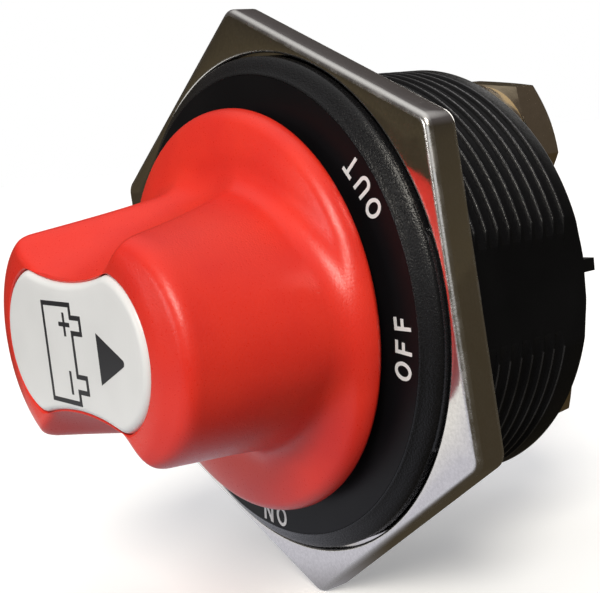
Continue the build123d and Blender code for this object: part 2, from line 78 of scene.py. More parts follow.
KNOB_LOW, KNOB_HIGH = switch_box("knob")
LABEL_LOW, LABEL_HIGH = switch_box("knob_label")
BODY_LOW, BODY_HIGH = switch_box("housing")
DIAL_LOW, DIAL_HIGH = switch_box("dial_ring")
NUT_LOW, NUT_HIGH = switch_box("lock_nut")
STUD_LOW, STUD_HIGH = switch_box("upper_stud")
SEAT_HIGH = switch_box("panel_gasket")[1]
COVER_HIGH = switch_box("rear_cover")[1]

SKIRT_RADIUS = KNOB_HIGH[0]
SKIRT_LIFT = 1.3            # how much further out the knob's skirt stands than in the CAD
KNOB_BOTTOM = KNOB_LOW[2] + SKIRT_LIFT
KNOB_TOP = KNOB_HIGH[2]
LABEL_TOP = LABEL_HIGH[2]
LABEL_END = LABEL_HIGH[0]
DIAL_RADIUS = DIAL_HIGH[0]
DIAL_FACE = DIAL_HIGH[2]
FLANGE_RADIUS = BODY_HIGH[1]
LUG_RADIUS = BODY_HIGH[0]
FLANGE_BACK = SEAT_HIGH[2]
BODY_REAR = BODY_LOW[2]
STUD_OFFSET = (STUD_HIGH[1] + STUD_LOW[1]) / 2


# ---------------------------------------------------------------- mesh helpers


def add_mesh(name, points, faces, body, materials, stands_for=(), sharp=None):
    """A smooth-shaded piece that rides on a CAD body."""
    mesh = bpy.data.meshes.new(name)
    mesh.from_pydata([tuple(p) for p in to_row(points)], [], [tuple(int(i) for i in f) for f in faces])
    mesh.validate()
    piece = bpy.data.objects.new(name, mesh)
    bpy.context.scene.collection.objects.link(piece)
    for material in materials:
        mesh.materials.append(material)
    mesh.polygons.foreach_set("use_smooth", [True] * len(mesh.polygons))
    if sharp is not None:
        mesh.set_sharp_from_angle(angle=math.radians(sharp))
    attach(piece, body)
    if stands_for:
        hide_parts(*stands_for)
    return piece


def ring_faces(rows, columns, first=0):
    """Quads between closed rings of points, each ring one row."""
    j, i = np.meshgrid(np.arange(rows - 1), np.arange(columns), indexing="ij")
    nxt = (i + 1) % columns
    here, above = j * columns, (j + 1) * columns
    quads = np.stack([here + i, here + nxt, above + nxt, above + i], axis=-1)
    return (quads.reshape(-1, 4) + first).tolist()


def smooth_max(a, b, reach):
    """The larger of two distances, blended over reach."""
    near = np.maximum(reach - np.abs(a - b), 0) / reach
    return np.maximum(a, b) + near * near * reach / 4


def smooth_min(a, b, reach):
    """The smaller of two distances, blended over reach."""
    return -smooth_max(-a, -b, reach)


# ---------------------------------------------------------------- materials

CLOUD_MM = 9.0              # size and height of the slow unevenness of moulded plastic
CLOUD_HEIGHT = 0.15
HAZE_MM = 2.0               # size of the blotches in a metal's gloss
LINE_MM = 0.35              # size of a metal's polishing marks, which are finer along y
LINE_STRETCH = (1.0, 6.0, 1.0)
WORN, BRIGHT = 0.92, 1.05   # a metal's colour varies between these shares of it


def new_material(name, colour, roughness, metallic=0.0, specular=0.5):
    """A material with its Principled shader, and the node tree to add detail to."""
    material = bpy.data.materials.new(name)
    material.use_nodes = True
    tree = material.node_tree
    shader = tree.nodes["Principled BSDF"]
    shader.inputs["Base Color"].default_value = (*colour, 1)
    shader.inputs["Roughness"].default_value = roughness
    shader.inputs["Metallic"].default_value = metallic
    shader.inputs["Specular IOR Level"].default_value = specular
    material.diffuse_color = (*colour, 1)
    return material, tree, shader


def coordinates(tree, scale=(1, 1, 1)):
    """Object coordinates, in metres, stretched by scale."""
    source = tree.nodes.new("ShaderNodeTexCoord")
    mapping = tree.nodes.new("ShaderNodeMapping")
    mapping.inputs["Scale"].default_value = scale
    tree.links.new(source.outputs["Object"], mapping.inputs["Vector"])
    return mapping.outputs["Vector"]


def noise(tree, vector, size_mm, detail=3.0, roughness=0.5):
    """Noise whose blobs are about size_mm across."""
    node = tree.nodes.new("ShaderNodeTexNoise")
    node.inputs["Scale"].default_value = 1.0 / (size_mm * MM)
    node.inputs["Detail"].default_value = detail
    node.inputs["Roughness"].default_value = roughness
    tree.links.new(vector, node.inputs["Vector"])
    return node.outputs["Fac"]


def spread(tree, value, low, high, from_low=0.3, from_high=0.7):
    """Map a value to a range."""
    node = tree.nodes.new("ShaderNodeMapRange")
    node.inputs["From Min"].default_value = from_low
    node.inputs["From Max"].default_value = from_high
    node.inputs["To Min"].default_value = low
    node.inputs["To Max"].default_value = high
    tree.links.new(value, node.inputs["Value"])
    return node.outputs["Result"]


def tint(tree, value, dark, light):
    """A colour between two, by a value from 0 to 1."""
    node = tree.nodes.new("ShaderNodeMix")
    node.data_type = "RGBA"
    node.inputs["A"].default_value = (*dark, 1)
    node.inputs["B"].default_value = (*light, 1)
    tree.links.new(value, node.inputs["Factor"])
    return node.outputs["Result"]


def bump(tree, shader, heights):
    """Bump from a list of (value, height in mm, strength)."""
    normal = None
    for value, height, strength in heights:
        node = tree.nodes.new("ShaderNodeBump")
        node.inputs["Strength"].default_value = strength
        node.inputs["Distance"].default_value = height * MM
        tree.links.new(value, node.inputs["Height"])
        if normal is not None:
            tree.links.new(normal, node.inputs["Normal"])
        normal = node.outputs["Normal"]
    tree.links.new(normal, shader.inputs["Normal"])


def moulded_plastic(name, dark, light, roughness, grain_mm, grain_height, specular=0.5):
    """Plastic with a fine spark-eroded grain and slightly uneven colour and gloss."""
    material, tree, shader = new_material(name, light, sum(roughness) / 2, specular=specular)
    vector = coordinates(tree)
    cloud = noise(tree, vector, CLOUD_MM, 2.0)
    fine = noise(tree, vector, grain_mm, 2.0, 0.6)
    links = tree.links
    links.new(tint(tree, spread(tree, cloud, 0, 1), dark, light), shader.inputs["Base Color"])
    links.new(spread(tree, fine, *roughness), shader.inputs["Roughness"])
    bump(tree, shader, [(fine, grain_height, 0.6), (cloud, CLOUD_HEIGHT, 0.08)])
    return material


def polished_metal(name, colour, roughness, wave_mm, wave_height=0.02, scratch=0.0015):
    """Plated metal: faint waves in the polish and fine scratches."""
    material, tree, shader = new_material(name, colour, sum(roughness) / 2, metallic=1.0)
    vector = coordinates(tree)
    wave = noise(tree, vector, wave_mm, 1.0)
    haze = noise(tree, vector, HAZE_MM, 4.0, 0.6)
    lines = noise(tree, coordinates(tree, LINE_STRETCH), LINE_MM, 3.0, 0.6)
    worn, bright = [c * WORN for c in colour], [min(c * BRIGHT, 1.0) for c in colour]
    varied = tint(tree, spread(tree, lines, 0, 1, 0.35, 0.65), worn, bright)
    tree.links.new(varied, shader.inputs["Base Color"])
    tree.links.new(spread(tree, haze, *roughness), shader.inputs["Roughness"])
    bump(tree, shader, [(wave, wave_height, 0.5), (lines, scratch, 0.5)])
    return material


RED = moulded_plastic("red_moulding", (0.69, 0.021, 0.011), (0.77, 0.031, 0.013),
                      (0.26, 0.42), 0.24, 0.040, 0.46)
BLACK = moulded_plastic("black_moulding", (0.0036, 0.0036, 0.0040), (0.0056, 0.0056, 0.0060),
                        (0.36, 0.52), 0.22, 0.030, 0.09)
THREAD = moulded_plastic("black_thread", (0.0040, 0.0040, 0.0045), (0.0065, 0.0065, 0.0072),
                         (0.26, 0.44), 0.22, 0.070, 0.15)
GRAIN = moulded_plastic("black_grain", (0.0045, 0.0045, 0.005), (0.008, 0.008, 0.009),
                        (0.18, 0.36), 0.20, 0.085, 0.32)
# Thread crests: glossier than the flanks, and coloured lighter than the thread as a painted highlight along
# each crest
CREST_HIGHLIGHT = moulded_plastic("thread_crest_highlight", (0.010, 0.010, 0.011), (0.038, 0.038, 0.041),
                        (0.20, 0.38), 0.24, 0.12, 0.55)
DIAL = moulded_plastic("dial_black", (0.004, 0.004, 0.005), (0.006, 0.006, 0.007),
                       (0.34, 0.42), 0.25, 0.004, 0.14)
LABEL = moulded_plastic("label_white", (0.74, 0.745, 0.74), (0.80, 0.805, 0.80),
                        (0.30, 0.38), 0.5, 0.004)
NATURAL = moulded_plastic("natural_acetal", (0.50, 0.48, 0.42), (0.60, 0.58, 0.52),
                          (0.35, 0.5), 0.4, 0.01)
RUBBER = moulded_plastic("black_rubber", (0.010, 0.010, 0.010), (0.016, 0.016, 0.016),
                         (0.55, 0.7), 0.5, 0.02)
NICKEL = polished_metal("nickel_face", (0.72, 0.69, 0.66), (0.05, 0.14), 9.0, 0.06)
NICKEL_EDGE = polished_metal("nickel_edge", (0.74, 0.72, 0.69), (0.16, 0.34), 0.22, 0.016)
PASSIVATED = polished_metal("yellow_zinc", (0.70, 0.58, 0.40), (0.08, 0.22), 2.2, 0.10, scratch=0.003)
ZINC = polished_metal("zinc_plate", (0.70, 0.68, 0.64), (0.10, 0.22), 2.0)
TIN = polished_metal("tin_plate", (0.72, 0.71, 0.68), (0.18, 0.32), 1.5)
COPPER = polished_metal("bare_copper", (0.80, 0.40, 0.26), (0.22, 0.4), 1.5)
STEEL = polished_metal("spring_steel", (0.55, 0.55, 0.56), (0.2, 0.35), 1.5)
WHITE_INK = new_material("white_ink", (0.78, 0.78, 0.78), 0.5)[0]
BLACK_INK = new_material("black_ink", (0.012, 0.012, 0.016), 0.45)[0]

# ---------------------------------------------------------------- knob

SHOULDER_LOW = 5.7 + SKIRT_LIFT             # where the skirt's side turns into its bevelled shoulder
SHOULDER = (20.6, 7.2 + SKIRT_LIFT)         # crease between the bevel and the flat: radius, z
HANDLE_BASE_Z = 7.4 + SKIRT_LIFT
BASE_ARC = 25.7             # the handle is lens-shaped at its root: radius and offset of its two arcs
BASE_ARC_OFFSET = 9.7
HANDLE_CREST = (26.6, 21.3, 12.9)           # z, half length, half width
HANDLE_TOP = (KNOB_TOP, 17.0, 12.6)
BEVEL_SLANT = (KNOB_TOP - HANDLE_CREST[0]) / math.hypot(
    KNOB_TOP - HANDLE_CREST[0], HANDLE_CREST[1] - HANDLE_TOP[1])
SCOOP_RADIUS = 17.1
SCOOP_WAIST = 7.6
SCOOP_SLOPE = math.radians(24)
TIP_SOFTNESS = 4.5          # over how far two surfaces blend: the handle's tips at its root
CREST_SOFTNESS = 1.3        # its bevel
TOP_SOFTNESS = 0.4          # its flat top
RIDGE_SOFTNESS = 0.9        # the edges of its scoops
SIDE_SOFTNESS = 1.4         # the skirt's side and shoulder
SHOULDER_SOFTNESS = 1.2     # the shoulder and the flat
ROOT_SOFTNESS = 2.6         # the handle and the skirt
KNOB_COLUMNS = 480
KNOB_ROWS = 200
LABEL_COLUMNS = 360
LABEL_CORNER = (9.4, 8.3)
LABEL_WAIST = 7.1
LABEL_SOFT_CORNER = 0.7
LABEL_EDGE = 0.9            # radius of the label's edge
RECESS_GAP = 0.12           # between the label and the sides of its recess
HUB_RADIUS = 8.4
SHANK_HOLE = (5.55, 10.0)   # radius, z of its end
SCREW_HOLE_RADIUS = 5.0
HOLLOW_ROOF = (20.5, 15.0, 8.45)            # z, half length, half width
HOLLOW_MOUTH = (17.0, 12.0)                 # half length, half width
GROOVE = (20.2, 22.0, 1.35) # ring groove under the skirt: inner and outer radius, depth


def slot_shape(x, y, half_length, half_width):
    """Distance outside a slot-shaped outline."""
    straight = half_length - half_width
    return np.hypot(np.maximum(np.abs(x) - straight, 0), y) - half_width


def between(z, low, high):
    """Half length and half width at z, on the straight line between two sections."""
    t = (z - low[0]) / (high[0] - low[0])
    return low[1] + t * (high[1] - low[1]), low[2] + t * (high[2] - low[2])


def knob_field(x, y, z):
    """Distance outside the knob's moulding, with its edges softened."""
    climb = (z - HANDLE_BASE_Z) / (HANDLE_CREST[0] - HANDLE_BASE_Z)
    arcs = np.hypot(x, y + BASE_ARC_OFFSET), np.hypot(x, y - BASE_ARC_OFFSET)
    lens = smooth_max(*arcs, TIP_SOFTNESS) - BASE_ARC
    side = lens * (1 - climb) + slot_shape(x, y, *HANDLE_CREST[1:]) * climb
    bevel = slot_shape(x, y, *between(z, HANDLE_CREST, HANDLE_TOP)) * BEVEL_SLANT
    handle = smooth_max(side, bevel, CREST_SOFTNESS)
    handle = smooth_max(handle, z - KNOB_TOP, TOP_SOFTNESS)
    scoop_y = SCOOP_WAIST + SCOOP_RADIUS + (KNOB_TOP - z) * math.tan(SCOOP_SLOPE)
    scoop = SCOOP_RADIUS - np.hypot(x, (np.abs(y) - scoop_y) * math.cos(SCOOP_SLOPE))
    handle = smooth_max(handle, scoop, RIDGE_SOFTNESS)
    radius = np.hypot(x, y)
    run, rise = SKIRT_RADIUS - SHOULDER[0], SHOULDER[1] - SHOULDER_LOW
    bevel_out = ((radius - SKIRT_RADIUS) * rise + (z - SHOULDER_LOW) * run) / math.hypot(run, rise)
    skirt = smooth_max(radius - SKIRT_RADIUS, bevel_out, SIDE_SOFTNESS)
    skirt = smooth_max(skirt, z - SHOULDER[1], SHOULDER_SOFTNESS)
    return smooth_min(handle, skirt, ROOT_SOFTNESS)


def label_quarter(grow):
    """A quarter of the label's outline: round end, softened corner, waisted side."""
    corner = np.array([LABEL_CORNER[0] + 0.3 * grow, LABEL_CORNER[1] + grow])
    end, waist = LABEL_END + grow, LABEL_WAIST + grow
    end_centre = (end * end - corner @ corner) / (2 * (end - corner[0]))
    end_turn = np.linspace(0, math.atan2(corner[1], corner[0] - end_centre), 40)
    end_arc = np.column_stack([end_centre + (end - end_centre) * np.cos(end_turn),
                               (end - end_centre) * np.sin(end_turn)])
    dip = corner[1] - waist
    waist_radius = (corner[0] ** 2 + dip ** 2) / (2 * dip)
    waist_turn = np.linspace(math.asin(corner[0] / waist_radius), 0, 40)
    waist_arc = np.column_stack([waist_radius * np.sin(waist_turn),
                                 waist + waist_radius * (1 - np.cos(waist_turn))])
    start = end_arc[np.linalg.norm(end_arc - corner, axis=1) > LABEL_SOFT_CORNER]
    finish = waist_arc[np.linalg.norm(waist_arc - corner, axis=1) > LABEL_SOFT_CORNER]
    t = np.linspace(0, 1, 7)[1:-1, None]
    bend = (1 - t) ** 2 * start[-1] + 2 * t * (1 - t) * corner + t * t * finish[0]
    return np.concatenate([start, bend, finish])


def label_radius(angle, grow=0.0):
    """Distance from the axis to the label's outline, at an angle."""
    outline = label_quarter(grow)
    folded = np.arctan2(np.abs(np.sin(angle)), np.abs(np.cos(angle)))
    across, up = outline[:, 0], outline[:, 1]
    return np.interp(folded, np.arctan2(up, across), np.hypot(across, up))


def knob_outer_rings(angle, rows):
    """Rings over the knob's outside, each point found along a line that climbs at 45 degrees."""
    low = np.full(angle.shape, KNOB_BOTTOM + 0.45 - SKIRT_RADIUS)
    high = KNOB_TOP - (label_radius(angle, RECESS_GAP) + 0.12)
    rings = []
    for t in np.linspace(0, 1, rows):
        climb = low + (high - low) * t
        near, far = np.zeros(angle.shape), np.full(angle.shape, SKIRT_RADIUS + 3)
        for _ in range(40):
            middle = (near + far) / 2
            inside = knob_field(middle * np.cos(angle), middle * np.sin(angle), climb + middle) < 0
            near, far = np.where(inside, middle, near), np.where(inside, far, middle)
        rings.append(np.stack([near * np.cos(angle), near * np.sin(angle), climb + near], axis=-1))
    return rings


def polar_ring(angle, radius, z):
    """One ring at height z with a radius for each angle."""
    radius = np.broadcast_to(radius, angle.shape)
    return np.stack([radius * np.cos(angle), radius * np.sin(angle), np.full(angle.shape, float(z))], axis=-1)


def slot_radius(angle, half_length, half_width):
    """Distance from the axis to a slot-shaped outline, at an angle."""
    straight = half_length - half_width
    c, s = np.abs(np.cos(angle)), np.abs(np.sin(angle))
    round_end = straight * c + np.sqrt(np.maximum(half_width ** 2 - (straight * s) ** 2, 0))
    side = half_width / np.maximum(s, 1e-6)
    return np.where(side * c < straight, side, round_end)


def make_knob():
    """The red moulding: outside, label recess, and the hollow underneath with its hub."""
    angle = np.linspace(0, TAU, KNOB_COLUMNS, endpoint=False)
    floor = LABEL_LOW[2]
    groove_in, groove_out, groove_depth = GROOVE
    under = [
        polar_ring(angle, HUB_RADIUS, HOLLOW_ROOF[0]),
        polar_ring(angle, slot_radius(angle, *HOLLOW_ROOF[1:]), HOLLOW_ROOF[0]),
        polar_ring(angle, slot_radius(angle, *HOLLOW_MOUTH), KNOB_BOTTOM),
        polar_ring(angle, groove_in, KNOB_BOTTOM),
        polar_ring(angle, groove_in, KNOB_BOTTOM + groove_depth),
        polar_ring(angle, groove_out, KNOB_BOTTOM + groove_depth),
        polar_ring(angle, groove_out, KNOB_BOTTOM),
        polar_ring(angle, SKIRT_RADIUS - 0.35, KNOB_BOTTOM),
        polar_ring(angle, SKIRT_RADIUS - 0.1, KNOB_BOTTOM + 0.12),
    ]
    hub = [
        polar_ring(angle, *SHANK_HOLE),
        polar_ring(angle, SHANK_HOLE[0], KNOB_BOTTOM),
        polar_ring(angle, HUB_RADIUS, KNOB_BOTTOM),
    ]
    outside = knob_outer_rings(angle, KNOB_ROWS)
    recess = [
        polar_ring(angle, label_radius(angle, RECESS_GAP), KNOB_TOP - 0.1),
        polar_ring(angle, label_radius(angle, RECESS_GAP), floor),
        polar_ring(angle, SCREW_HOLE_RADIUS, floor),
    ]
    rings = np.array(hub + under + outside + recess)
    points = rings.reshape(-1, 3)
    faces = ring_faces(len(rings), len(angle))
    add_mesh("knob_moulding", points, faces, "key", [RED], ["knob"], sharp=50)


def make_label():
    """The white plate with a soft edge."""
    angle = np.linspace(0, TAU, LABEL_COLUMNS, endpoint=False)
    rings = [polar_ring(angle, label_radius(angle, 0.0), LABEL_LOW[2])]
    rings.append(polar_ring(angle, label_radius(angle, 0.0), LABEL_TOP - LABEL_EDGE))
    for k in range(1, 8):
        turn = k / 7 * math.pi / 2
        inset, drop = LABEL_EDGE * (1 - math.cos(turn)), LABEL_EDGE * (1 - math.sin(turn))
        rings.append(polar_ring(angle, label_radius(angle, -inset), LABEL_TOP - drop))
    rings.append(polar_ring(angle, label_radius(angle, -LABEL_EDGE - 0.8), LABEL_TOP + 0.015))
    rings.append(polar_ring(angle, label_radius(angle) * 0.5, LABEL_TOP + 0.02))
    points = np.array(rings).reshape(-1, 3)
    faces = ring_faces(len(rings), len(angle))
    last = (len(rings) - 1) * len(angle)
    faces.append(list(range(last, last + len(angle))))
    faces.append(list(range(len(angle)))[::-1])
    add_mesh("label_plate", points, faces, "key", [LABEL], ["knob_label"], sharp=50)


make_knob()
make_label()

# ---------------------------------------------------------------- lock nut

NUT_APOTHEM = 31.0
NUT_CORNER = 2.0            # radius of the nut's upright edges
NUT_EDGE = 0.75             # radius between its faces and sides
NUT_TURN = math.radians(94.8)
RECESS_RADIUS = 29.8
RECESS_FLOOR = -0.05
RECESS_LIP = 0.35           # radius of the recess's edge
NUT_BORE = BODY_HIGH[1] - 2.7
BORE_CHAMFER = 0.3


def hexagon_ring(inset, z, per_side=28, per_corner=8):
    """A rounded hexagon, drawn in by inset, at height z."""
    apothem = NUT_APOTHEM - inset
    corner = max(NUT_CORNER - inset, 0.15)
    reach = (apothem - corner) * 2 / math.sqrt(3)
    points = []
    for side in range(6):
        at = NUT_TURN + side * TAU / 6
        centre = reach * np.array([math.cos(at), math.sin(at)])
        for k in range(per_corner + 1):
            a = at + (k / per_corner - 0.5) * TAU / 6
            points.append(centre + corner * np.array([math.cos(a), math.sin(a)]))
        after = NUT_TURN + (side + 1) * TAU / 6
        centre_after = reach * np.array([math.cos(after), math.sin(after)])
        normal = at + TAU / 12
        start = points[-1]
        end = centre_after + corner * np.array([math.cos(normal), math.sin(normal)])
        for k in range(1, per_side):
            points.append(start + (end - start) * k / per_side)
    points = np.array(points)
    return np.column_stack([points, np.full(len(points), z)])


def circle_like(ring, radius, z):
    """A circle whose points lie at the same angles as the points of a ring."""
    angle = np.arctan2(ring[:, 1], ring[:, 0])
    return np.column_stack([radius * np.cos(angle), radius * np.sin(angle), np.full(len(angle), z)])


def make_lock_nut():
    """The plated hexagon nut, with its edges tumbled round."""
    front, back = NUT_HIGH[2], NUT_LOW[2]
    quarter = [k / 6 * math.pi / 2 for k in range(7)]
    outer = [hexagon_ring(NUT_EDGE * (1 - math.sin(a)), back + NUT_EDGE * (1 - math.cos(a)))
             for a in quarter]
    outer += [hexagon_ring(NUT_EDGE * (1 - math.cos(a)), front - NUT_EDGE * (1 - math.sin(a)))
              for a in quarter]
    base = hexagon_ring(0, 0)
    lips = [(RECESS_LIP * (1 - math.sin(a)), RECESS_LIP * (1 - math.cos(a))) for a in quarter]
    inner = [circle_like(base, RECESS_RADIUS + wider, front - deeper) for wider, deeper in lips]
    inner += [circle_like(base, RECESS_RADIUS, RECESS_FLOOR), circle_like(base, NUT_BORE, RECESS_FLOOR),
              circle_like(base, NUT_BORE, back + BORE_CHAMFER),
              circle_like(base, NUT_BORE + BORE_CHAMFER, back)]
    rings = outer + inner
    rings.append(rings[0])
    rings = np.array(rings)
    columns = rings.shape[1]
    faces = ring_faces(len(rings), columns)
    piece = add_mesh("lock_nut_plated", rings.reshape(-1, 3), faces, "nut", [NICKEL, NICKEL_EDGE],
                     ["lock_nut"], sharp=60)
    arc_rows = len(quarter)
    edge_rows = {first + k for first in (0, arc_rows, 2 * arc_rows) for k in range(arc_rows - 1)}
    for index, polygon in enumerate(piece.data.polygons):
        if index // columns in edge_rows:
            polygon.material_index = 1


make_lock_nut()

# ---------------------------------------------------------------- printed marks

INK = 0.045                 # how far the ink stands above its surface
INK_SINK = 0.05             # how far it reaches below it
CAP_HEIGHT = 2.5
MARKS_DROP = 0.6            # how far the label's marks sit below its middle
STEM = 0.165                # width of a letter's strokes, as a share of its height


def arc(x, y, radius_x, radius_y, start, end, steps=16):
    """Points on an ellipse between two angles in degrees."""
    a = np.radians(np.linspace(start, end, steps))
    return np.column_stack([x + radius_x * np.cos(a), y + radius_y * np.sin(a)])


def letter(name):
    """Outline of a capital one unit high, its inner outline if it is a ring, and its width."""
    if name == "O":
        half = 0.40
        outer = arc(half, 0.5, half, 0.5, 0, 354, 60)
        inner = arc(half, 0.5, half - STEM, 0.5 - STEM, 0, 354, 60)
        return outer, inner, 2 * half
    if name == "F":
        width = 0.56
        corners = [(0, 0), (STEM, 0), (STEM, 0.42), (width * 0.9, 0.42), (width * 0.9, 0.42 + STEM),
                   (STEM, 0.42 + STEM), (STEM, 1 - STEM), (width, 1 - STEM), (width, 1), (0, 1)]
    elif name == "T":
        width = 0.66
        left, right = (width - STEM) / 2, (width + STEM) / 2
        corners = [(left, 0), (right, 0), (right, 1 - STEM), (width, 1 - STEM), (width, 1), (0, 1),
                   (0, 1 - STEM), (left, 1 - STEM)]
    elif name == "N":
        width = 0.74
        corners = [(0, 0), (STEM, 0), (STEM, 0.70), (width - STEM, 0), (width, 0), (width, 1),
                   (width - STEM, 1), (width - STEM, 0.30), (STEM, 1), (0, 1)]
    else:
        width = 0.70
        half = width / 2
        bowl = arc(half, half, half, half, 180, 360)
        hollow = arc(half, half, half - STEM, half - STEM, 360, 180)
        corners = [(0, 1), *bowl.tolist(), (width, 1), (width - STEM, 1), *hollow.tolist(), (STEM, 1)]
    return np.array(corners), None, width


def slab(outer, inner, low, high, points, faces):
    """Add a thin closed slab with the given outline, or a ring between two outlines."""
    first, count = len(points), len(outer)
    points.extend((x, y, low) for x, y in outer)
    points.extend((x, y, high) for x, y in outer)
    turn = [(i, (i + 1) % count) for i in range(count)]
    faces.extend([first + i, first + j, first + count + j, first + count + i] for i, j in turn)
    if inner is None:
        faces.append([first + count + i for i in range(count)])
        faces.append([first + i for i in reversed(range(count))])
        return
    hole = first + 2 * count
    points.extend((x, y, low) for x, y in inner)
    points.extend((x, y, high) for x, y in inner)
    for i, j in turn:
        faces.append([first + count + i, first + count + j, hole + count + j, hole + count + i])
        faces.append([hole + count + i, hole + count + j, hole + j, hole + i])
        faces.append([hole + i, hole + j, first + j, first + i])


def write_round(word, angle, pitch, radius, tops_out, points, faces):
    """Letters one by one round the axis, with their tops towards it or away from it."""
    way = -1 if tops_out else 1
    for index, name in enumerate(word):
        at = math.radians(angle + way * pitch * (index - (len(word) - 1) / 2))
        outward = np.array([math.cos(at), math.sin(at)])
        along = way * np.array([-outward[1], outward[0]])
        up = -way * outward
        outer, inner, width = letter(name)
        lines = [None if line is None else radius * outward + CAP_HEIGHT * (
            (line[:, :1] - width / 2) * along + (line[:, 1:] - 0.5) * up) for line in (outer, inner)]
        slab(*lines, DIAL_FACE - INK_SINK, DIAL_FACE + INK, points, faces)


def make_dial_marks():
    """The three positions, printed on the dial."""
    points, faces = [], []
    write_round("OFF", -6.4, 5.7, 25.2, False, points, faces)
    write_round("OUT", 33.4, 6.0, 25.3, False, points, faces)
    write_round("ON", -94.0, 6.0, 25.85, True, points, faces)
    add_mesh("dial_marks", points, faces, "switch_body", [WHITE_INK], sharp=40)


def make_label_marks():
    """The battery sign and the pointer, printed on the label."""
    left, right, end, line = -5.9, 1.2, 5.65, 0.52
    tab_out, tab_high, tab_low = 3.3, 4.3, 2.1
    quarter = [(right, tab_low), (tab_out, tab_low), (tab_out, tab_high), (right, tab_high), (right, end),
               (left, end)]
    inner_quarter = [(right - line, tab_low + line), (tab_out - line, tab_low + line),
                     (tab_out - line, tab_high - line), (right - line, tab_high - line),
                     (right - line, end - line), (left + line, end - line)]
    outer = quarter + [(x, -y) for x, y in reversed(quarter)]
    inner = inner_quarter + [(x, -y) for x, y in reversed(inner_quarter)]
    low, high = LABEL_TOP - INK_SINK, LABEL_TOP + INK
    drop = np.array([0.0, MARKS_DROP])
    points, faces = [], []
    slab(np.array(outer) - drop, np.array(inner) - drop, low, high, points, faces)
    middle, arm, half_line = (tab_low + tab_high) / 2, 1.3, 0.24
    sign_x = -0.75
    plus = [(half_line, half_line), (half_line, arm), (-half_line, arm), (-half_line, half_line),
            (-arm, half_line), (-arm, -half_line), (-half_line, -half_line), (-half_line, -arm),
            (half_line, -arm), (half_line, -half_line), (arm, -half_line), (arm, half_line)]
    slab(np.array(plus) + (sign_x, middle) - drop, None, low, high, points, faces)
    minus = [(-half_line, -arm), (half_line, -arm), (half_line, arm), (-half_line, arm)]
    slab(np.array(minus) + (sign_x, -middle) - drop, None, low, high, points, faces)
    pointer = np.array([(6.4, -2.75), (11.7, -0.3), (11.8, 0), (11.7, 0.3), (6.4, 2.75)])
    slab(pointer - drop, None, low, high, points, faces)
    add_mesh("label_marks", points, faces, "key", [BLACK_INK], sharp=40)


make_dial_marks()
make_label_marks()

# ---------------------------------------------------------------- body

BODY_PITCH = 1.8
BODY_DEPTH = 0.45
BODY_TURNS = 11
BODY_FLAT = 25.5            # from the axis to the flat on each side
BODY_RADIUS = 26.5
THREAD_REAR = -22.4
LUG = (math.radians(-28.5), math.radians(18), LUG_RADIUS)     # bulges: start, end, radius
STOP_ROOM = (math.radians(82), math.radians(228), 16.3)
LUG_FRONT = 1.6
RIM_CUT = math.radians(18)  # stands for the flats' edge on rings that have none
CAVITY_RADIUS = 22.0
WALL_BACK = -5.2
COUNTERBORE_RADIUS = 14.3
COUNTERBORE_Z = -1.5
BODY_BORE = 11.0
DIAL_FLOOR = DIAL_LOW[2] - 0.05
REAR_CHAMFER = 0.9
COVER_HOLE = COVER_HIGH[0] + 0.1
RIM_RADIUS = FLANGE_RADIUS + 0.2
# share of the pitch and share of the depth for the points of one thread section
THREAD_SECTION = [(-0.04, 0.0), (0.04, 0.0), (0.08, 0.10), (0.17, 0.90),
                  (0.22, 1.0), (0.78, 1.0), (0.83, 0.90), (0.92, 0.10)]
CREST_ROWS = (0, 1)         # the rows of a section that make its crest, coloured lighter as a painted highlight


def body_angles(cut):
    """Angles of a ring's points, with one of them on each edge of the side flats."""
    share = np.linspace(0, 1, 13)
    flat = cut * share
    arc_part = cut + (TAU / 4 - cut) * np.linspace(0, 1, 109)[1:]
    quarter = np.concatenate([flat, arc_part])
    half = np.concatenate([quarter, math.pi - quarter[::-1][1:]])
    return np.concatenate([half, TAU - half[::-1][1:-1]])


def body_ring(radius, z, flats=True, bulge=None, helix=0.0):
    """One ring of the body. helix lifts it by a pitch in each turn, starting over on a flat."""
    flats = flats and radius > BODY_FLAT
    cut = math.acos(BODY_FLAT / radius) if flats else RIM_CUT
    angle = body_angles(cut)
    far = np.full(len(angle), float(radius))
    if flats:
        side = np.abs(np.cos(angle)) * radius > BODY_FLAT
        far = np.where(side, BODY_FLAT / np.abs(np.cos(angle)), far)
    if bulge:
        bulge_start, bulge_end, bulge_radius = bulge
        far = np.where((angle - bulge_start) % TAU < bulge_end - bulge_start, bulge_radius, far)
    start = cut / TAU
    lift = np.interp(angle / TAU, [0, start, 1 - start, 1], [0.5, start, 1 - start, 0.5])
    z_ring = z + helix * BODY_PITCH * lift
    return np.stack([far * np.cos(angle), far * np.sin(angle), z_ring], axis=-1)


